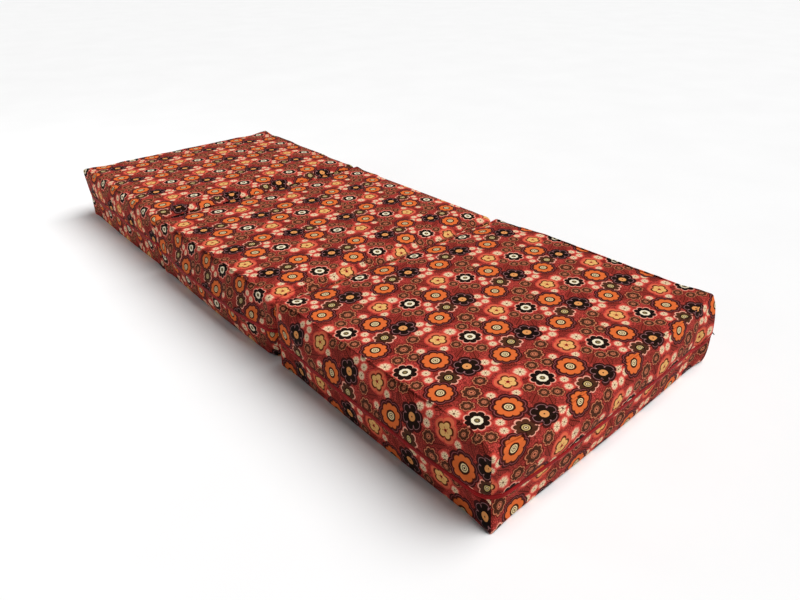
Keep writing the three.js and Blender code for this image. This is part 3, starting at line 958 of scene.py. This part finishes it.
def build_leaf(nodes, inputs):
    """A pointed leaf along a spot's Y, with a midrib and slanting veins."""
    x, y, _ = nodes.split(inputs["Spot"])
    side = nodes.math("ABSOLUTE", x)
    width = nodes.math("MULTIPLY", LEAF_WIDTH, nodes.math("SUBTRACT", 1.0, nodes.math("MULTIPLY", y, y)))
    inside = nodes.math("DIVIDE", side, nodes.math("MAXIMUM", width, 0.001))
    mask = nodes.math("LESS_THAN", inside, 1.0)
    slant = nodes.math("ADD", nodes.math("MULTIPLY", y, VEINS_ALONG),
                       nodes.math("MULTIPLY", side, VEINS_ACROSS))
    veins = nodes.math("LESS_THAN", nodes.math("FRACT", slant), VEIN_BREADTH)
    midrib = nodes.math("LESS_THAN", side, MIDRIB)
    rim = nodes.math("GREATER_THAN", inside, LEAF_RIM)
    lines = nodes.math("MAXIMUM", nodes.math("MAXIMUM", veins, midrib), rim)
    return [mask, nodes.math("MULTIPLY", lines, mask)]


def build_weave(nodes, inputs):
    """Plain weave: threads that pass over and under, as a height, and a mask for the little painted shade
    between them.
    """
    x, y, _ = nodes.split(nodes.vector("MULTIPLY", inputs["Place"], (math.tau / THREAD_PITCH,) * 2 + (0,)))
    over = nodes.math("SINE", x)
    under = nodes.math("SINE", y)
    woven = nodes.math("MULTIPLY", over, under)
    slub = nodes.noise(nodes.vector("MULTIPLY", inputs["Place"], (160.0, 1900.0, 0.0)), 1.0, 1.0)[0]
    height = nodes.math("ADD", woven, nodes.math("MULTIPLY", slub, inputs["Slub"]))
    return [nodes.spread(height, -1.0, 2.0), nodes.spread(woven, -1.0, 1.0)]


def build_stitches(nodes, inputs):
    """A row of stitches beside an edge: each a short thread, as a mask and a height."""
    along = nodes.math("FRACT", nodes.math("DIVIDE", inputs["Along"], inputs["Pitch"]))
    middle = nodes.math("ABSOLUTE", nodes.math("SUBTRACT", along, 0.5))
    thread = nodes.math("LESS_THAN", middle, STITCH_SHARE)
    off = nodes.math("ABSOLUTE", nodes.math("SUBTRACT", inputs["Across"], inputs["Inset"]))
    near = nodes.spread(off, inputs["Thickness"], 0.0)
    sunk = nodes.spread(off, nodes.math("MULTIPLY", inputs["Thickness"], SUNK_REACH), 0.0)
    mask = nodes.math("MULTIPLY", thread, nodes.math("GREATER_THAN", near, 0.02))
    height = nodes.math("SUBTRACT", nodes.math("MULTIPLY", thread, near),
                        nodes.math("MULTIPLY", sunk, SUNK_DEPTH))
    return [mask, height]


def build_print(nodes, inputs):
    """The small flower print from the ground up: leaves, daisies, brown flowers, then the large ones."""
    place = inputs["Place"]
    drift = nodes.vector("SUBTRACT", nodes.noise(place, 55.0, 1.0)[1], (0.5, 0.5, 0.5))
    place = nodes.vector("ADD", place, nodes.scale(drift, HAND_DRAWN))

    patches = nodes.noise(place, 21.0, 2.0)[0]
    ground = nodes.mix_colour(nodes.spread(patches, 0.42, 0.6), MAROON, BRICK)
    veined = nodes.add("TexVoronoi", feature="DISTANCE_TO_EDGE")
    swirl = nodes.scale(nodes.noise(place, 110.0, 1.0)[1], VEIN_SWIRL)
    nodes.join(veined.inputs["Vector"], nodes.vector("ADD", place, swirl))
    nodes.join(veined.inputs["Scale"], 1 / VEIN_SPACING)
    lines = nodes.spread(veined.outputs["Distance"], 0.06, 0.19, 0.8, 0.0)
    colour = nodes.mix_colour(lines, ground, INK_RED)

    for flower in FLOWERS:
        spot = (9.0, 9.0, 0.0)
        for x, y, radius, turn in flower.spots:
            middle = (x * MM, y * MM, 0.0)
            spot = nodes.call("nearer spot", Place=place, Spot=spot, Middle=middle, Radius=radius * MM,
                              Turn=math.radians(turn))[0]
        if flower.petals:
            reach, lobe = nodes.call("petals", Spot=spot, Half_petals=flower.petals / 2, Notch=flower.notch,
                                     Rounding=flower.rounding)[:2]
            drawn, shown = nodes.bands(reach, flower.bands, flower.soft)
            colour = nodes.mix_colour(shown, colour, drawn)
            if flower.parting:
                start, stop, ink = flower.parting
                between = nodes.math("MULTIPLY", nodes.math("GREATER_THAN", reach, start),
                                     nodes.math("LESS_THAN", reach, stop))
                parted = nodes.math("MULTIPLY", nodes.spread(lobe, *PARTED), between)
                colour = nodes.mix_colour(parted, colour, ink)
        else:
            mask, veins = nodes.call("leaf", Spot=spot)
            colour = nodes.mix_colour(mask, colour, LEAF_RED)
            colour = nodes.mix_colour(veins, colour, LEAF_VEIN)
    return [colour]


def make_groups():
    """The shader groups that the printed cloth uses."""
    make_group("nearer spot",
               {"Place": (0, 0, 0), "Spot": (0, 0, 0), "Middle": (0, 0, 0), "Radius": 0.01, "Turn": 0.0},
               {"Spot": "Vector"}, build_nearer_spot)
    make_group("petals", {"Spot": (0, 0, 0), "Half petals": 4.0, "Notch": 0.1, "Rounding": 0.0},
               {"Reach": "Float", "Lobe": "Float"}, build_petals)
    make_group("leaf", {"Spot": (0, 0, 0)}, {"Mask": "Float", "Veins": "Float"}, build_leaf)
    make_group("flower print", {"Place": (0, 0, 0)}, {"Color": "Color"}, build_print)
    make_group("weave", {"Place": (0, 0, 0), "Slub": 0.4}, {"Height": "Float", "Shade": "Float"}, build_weave)
    make_group("stitches",
               {"Along": 0.0, "Across": 0.0, "Pitch": 0.004, "Inset": 0.003, "Thickness": 0.0004},
               {"Mask": "Float", "Height": "Float"}, build_stitches)


def new_material(name, **constants):
    """A material with one Principled shader, whose even values are set on its own sockets."""
    material = bpy.data.materials.new(name)
    material.use_nodes = True
    nodes = Nodes(material.node_tree)
    shader = material.node_tree.nodes["Principled BSDF"]
    for label, value in constants.items():
        shader.inputs[label.replace("_", " ")].default_value = value
    return material, nodes, shader


def join_surface(nodes, shader, colour, roughness, height=None, depth=0.0):
    """Joins a surface's colour and roughness, and what is raised on it, to its shader."""
    nodes.join(shader.inputs["Base Color"], colour)
    nodes.join(shader.inputs["Roughness"], roughness)
    if height is not None:
        raised = nodes.add("Bump")
        nodes.join(raised.inputs["Strength"], 1.0)
        nodes.join(raised.inputs["Distance"], depth)
        nodes.join(raised.inputs["Height"], height)
        nodes.join(shader.inputs["Normal"], raised.outputs[0])


def printed_cotton():
    """The covers' cloth: printed plain-weave cotton with a soft sheen."""
    material, nodes, shader = new_material(
        "printed cotton", Sheen_Weight=0.01, Sheen_Roughness=0.5, Specular_IOR_Level=0.05)
    place = nodes.add("UVMap", uv_map="print").outputs[0]
    edge = nodes.split(nodes.add("UVMap", uv_map="edge").outputs[0])
    colour = nodes.call("flower print", Place=place)[0]
    weave = nodes.call("weave", Place=place, Slub=0.5)
    sewn = nodes.call("stitches", Along=edge[0], Across=edge[1], **STITCHES)
    fade = nodes.noise(place, 9.0, 3.0)[0]
    colour = nodes.mix_colour(nodes.spread(fade, 0.35, 0.8, 0.0, 0.03), colour, FADED_CLOTH)
    # Painted shade: the cloth's colour is darkened a little between its threads
    colour = nodes.mix_colour(nodes.math("MULTIPLY", nodes.math("SUBTRACT", 1.0, weave["Shade"]), 0.16),
                              colour, PAINTED_THREAD_SHADE)
    colour = nodes.mix_colour(sewn["Mask"], colour, STITCH_RED)
    height = nodes.math("ADD", nodes.math("MULTIPLY", weave["Height"], 0.2),
                        nodes.math("MULTIPLY", sewn["Height"], 1.6))
    roughness = nodes.spread(fade, 0.3, 0.7, 0.74, 0.88)
    join_surface(nodes, shader, colour, roughness, height, CLOTH_RELIEF)
    return material


def zip_tape():
    """Woven tape of a closed zip: a fine rib along it and a tight twill, with painted shade in its hollows
    and painted highlight in patches.
    """
    material, nodes, shader = new_material(
        "red zip tape", Sheen_Weight=0.02, Sheen_Roughness=0.4, Specular_IOR_Level=0.12)
    along, across, _ = nodes.split(nodes.add("UVMap", uv_map="edge").outputs[0])
    slant = nodes.math("ADD", along, across)
    twill = nodes.math("SINE", nodes.math("MULTIPLY", slant, math.tau / TWILL_PITCH))
    rows = nodes.math("SINE", nodes.math("MULTIPLY", across, math.tau / TAPE_ROW_PITCH))
    height = nodes.math("ADD", nodes.math("MULTIPLY", twill, 0.3), nodes.math("MULTIPLY", rows, 0.3))
    rough_and_lit_patches = nodes.noise(nodes.join_xyz(along, across), 30.0, 3.0)[0]
    # Painted highlight: a lit red laid in random patches, where the tape is also rougher
    colour = nodes.mix_colour(nodes.spread(rough_and_lit_patches, 0.3, 0.7), TAPE_RED, TAPE_PAINTED_LIT)
    # Painted shade: the tape's colour is darkened in the hollows of its twill and rows
    colour = nodes.mix_colour(nodes.spread(height, 0.0, -0.6, 0.0, 0.35), colour, TAPE_PAINTED_SHADE)
    roughness = nodes.spread(rough_and_lit_patches, 0.2, 0.8, 0.48, 0.66)
    join_surface(nodes, shader, colour, roughness, height, TAPE_RELIEF)
    return material


def metal(name, bright, dull, roughness):
    """Cast metal, dulled in patches and finely scratched."""
    material, nodes, shader = new_material(name, Metallic=1.0)
    place = nodes.add("TexCoord").outputs["Object"]
    patches = nodes.noise(place, 240.0, 4.0)[0]
    scratches = nodes.noise(nodes.vector("MULTIPLY", place, (300.0, 2600.0, 300.0)), 1.0, 2.0)[0]
    worn = nodes.spread(nodes.math("ADD", patches, scratches), 0.7, 1.3, roughness, roughness + 0.22)
    colour = nodes.mix_colour(nodes.spread(patches, 0.35, 0.65), dull, bright)
    join_surface(nodes, shader, colour, worn, scratches, SCRATCH_DEPTH)
    return material


def floor_material():
    """Pale plain floor with a faint unevenness."""
    material, nodes, shader = new_material("pale floor", Specular_IOR_Level=0.2)
    place = nodes.add("TexCoord").outputs["Object"]
    grain = nodes.noise(place, 3.0, 4.0)[0]
    colour = nodes.mix_colour(grain, *FLOOR_TONES)
    join_surface(nodes, shader, colour, nodes.spread(grain, 0.0, 1.0, 0.8, 0.9))
    return material


def build_zip(rim, shift):
    """A closed zip round a block: two tapes that meet at a low ridge of covered teeth."""
    lift = ZIP_HEIGHT / 2 - PIECE_GAP
    upper = [(ZIP_INNER, lift), (ZIP_OUTER - TAPE_BEVEL, lift), (ZIP_OUTER - TAPE_BEVEL / 3, 0.6 * lift),
             (ZIP_OUTER, RIDGE_WIDTH), (ZIP_OUTER + RIDGE_LIFT, GROOVE_WIDTH)]
    profile = [(out, -up) for out, up in upper] + [(ZIP_OUTER - GROOVE_DEPTH, 0.0)] + upper[::-1]
    rows = [rim.point(rim.zip + up, rim.belly + out) for out, up in profile]
    count = len(rim.run)
    around = np.append(0, np.cumsum(np.linalg.norm(np.diff(profile, axis=0), axis=1)))
    faces, places = [], []
    for level in range(len(rows)):
        above = (level + 1) % len(rows)
        for k in range(count):
            after = (k + 1) % count
            run = rim.run[after] if rim.side[after] == rim.side[k] else rim.length[k]
            faces.append([level * count + k, level * count + after, above * count + after, above * count + k])
            places += [(rim.run[k], around[level]), (run, around[level]), (run, around[above]),
                       (rim.run[k], around[above])]
    mesh = bpy.data.meshes.new(f"{rim.name}_zip_tape")
    mesh.from_pydata([Vector(point) + shift for row in rows for point in row], [], faces)
    mesh.uv_layers.new(name="edge").data.foreach_set("uv", [value for place in places for value in place])
    mesh.polygons.foreach_set("use_smooth", [True] * len(mesh.polygons))
    return add_object(mesh)


def build_fold_seam(name, node):
    """The sewn cloth between two blocks, softened from its solid, with the print laid across it."""
    mesh = node.data.copy()
    mesh.name = name
    mesh.materials.clear()
    reshape(mesh, soften)
    return add_object(mesh)


def soften(shape):
    """Finer faces, shaded smooth, and each point's place on the cloth."""
    bmesh.ops.remove_doubles(shape, verts=shape.verts, dist=0.01 * MM)
    bmesh.ops.subdivide_edges(shape, edges=shape.edges, cuts=2, use_grid_fill=True)
    for layer in list(shape.loops.layers.uv.values()):
        shape.loops.layers.uv.remove(layer)
    prints = shape.loops.layers.uv.new("print")
    edges = shape.loops.layers.uv.new("edge")
    for face in shape.faces:
        face.smooth = True
        for loop in face.loops:
            loop[prints].uv = (loop.vert.co.x + loop.vert.co.z, loop.vert.co.y)
            loop[edges].uv = FAR_OFF


def finish_cover(cover, shift):
    """A cover, settled by the simulation, made finer, closed in the channel and gathered."""
    piece = cover.build(shift)
    settle(piece, cover.rim, cover.held, shift)
    reshape(piece.data, open_cap)
    subdivide(piece)
    reshape(piece.data, close_cap)
    gather(piece, shift)
    return piece


def open_cap(shape):
    """Takes off the fan of faces inside the channel, whose middle is the last point."""
    shape.verts.ensure_lookup_table()
    bmesh.ops.delete(shape, geom=[shape.verts[-1]], context="VERTS")


def close_cap(shape):
    """Closes the opening inside the channel with one flat face."""
    rim = [edge for edge in shape.edges if edge.is_boundary]
    bmesh.ops.contextual_create(shape, geom=rim)
    bmesh.ops.recalc_face_normals(shape, faces=shape.faces)


def frame_shift(rims):
    """What the frame adds to the places here, told by the outermost sides of two zips."""
    far, middle = [rim.point(rim.zip, rim.belly + ZIP_OUTER) for rim in (rims["far"], rims["middle"])]
    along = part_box("far_zip")[0].x - far[:, 0].min()
    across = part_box("middle_zip")[0].y - middle[:, 1].min()
    return Vector((along, across, 0))


def add_camera(shift):
    """The camera at the photograph's angle."""
    data = bpy.data.cameras.new("camera")
    data.lens = CAMERA_LENS
    data.shift_x, data.shift_y = CAMERA_SHIFT
    camera = add_object(data)
    turn = (Matrix.Rotation(CAMERA_YAW - math.pi / 2, 4, "Z")
            @ Matrix.Rotation(math.pi / 2 - CAMERA_PITCH, 4, "X")
            @ Matrix.Rotation(CAMERA_ROLL, 4, "Z"))
    camera.matrix_world = Matrix.Translation(Vector(CAMERA_PLACE) + shift) @ turn
    bpy.context.scene.camera = camera


def studio_sky():
    """A faint white sky that lights the cloth softly, and a pale backdrop where the sky itself is seen."""
    world = bpy.data.worlds.new("studio")
    world.use_nodes = True
    nodes = Nodes(world.node_tree)
    lit = world.node_tree.nodes["Background"]
    lit.inputs["Color"].default_value = (1, 1, 1, 1)
    lit.inputs["Strength"].default_value = SKY_LIGHT
    seen = nodes.add("Background", BACKDROP, 1.0)
    looked_at = nodes.add("LightPath").outputs["Is Camera Ray"]
    both = nodes.add("MixShader", looked_at, lit.outputs[0], seen.outputs[0])
    nodes.join(world.node_tree.nodes["World Output"].inputs["Surface"], both.outputs[0])
    return world


def add_light(name, kind, start, aim, **settings):
    """A light that looks from one place to another."""
    data = bpy.data.lights.new(name, kind)
    for key, value in settings.items():
        setattr(data, key, value)
    light = add_object(data)
    light.location = start
    light.rotation_euler = (Vector(aim) - Vector(start)).to_track_quat("-Z", "Y").to_euler()


def add_stage():
    """A pale floor under a white studio sky, a soft key light and a fill beside the far block."""
    mesh = bpy.data.meshes.new("floor")
    corners = [(-1, -1), (1, -1), (1, 1), (-1, 1)]
    mesh.from_pydata([(x * FLOOR_REACH, y * FLOOR_REACH, 0) for x, y in corners], [], [(0, 1, 2, 3)])
    mesh.materials.append(floor_material())
    floor = add_object(mesh)
    floor.location.z = -FLOOR_DROP
    bpy.context.scene.world = studio_sky()
    add_light("soft key", "SUN", KEY_FROM, (0, 0, 0), energy=3.62, angle=math.radians(50))
    add_light("far fill", "AREA", FILL_FROM, FILL_AT, energy=8, size=0.8)
    bpy.context.scene.view_settings.view_transform = "Standard"


def dress(piece, material, node):
    """Gives a piece its material, and has it stand for its solid."""
    piece.data.materials.append(material)
    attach(piece, "root")
    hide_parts(node)


def main():
    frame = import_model()
    make_groups()
    cotton = printed_cotton()
    tape = zip_tape()

    rims = {name: Rim(name) for name in BLOCK_LENGTHS}
    shift = frame_shift(rims)
    add_camera(shift)
    add_stage()

    for name, rim in rims.items():
        for part in ("top", "base"):
            piece = finish_cover(Cover(rim, part), shift)
            dress(piece, cotton, f"{name}_{part}_cover")
        dress(build_zip(rim, shift), tape, f"{name}_zip")

    for seam in ("low_fold_seam", "high_fold_seam"):
        piece = build_fold_seam(f"{seam}_cloth", frame["nodes"][seam])
        dress(piece, cotton, seam)

    for node, material in (("zip_slider", metal("zip slider metal", SLIDER_BRIGHT, SLIDER_DULL, 0.3)),
                           ("zip_pull", metal("zip pull metal", PULL_BRIGHT, PULL_DULL, 0.5))):
        frame["nodes"][node].data.materials.clear()
        frame["nodes"][node].data.materials.append(material)


main()
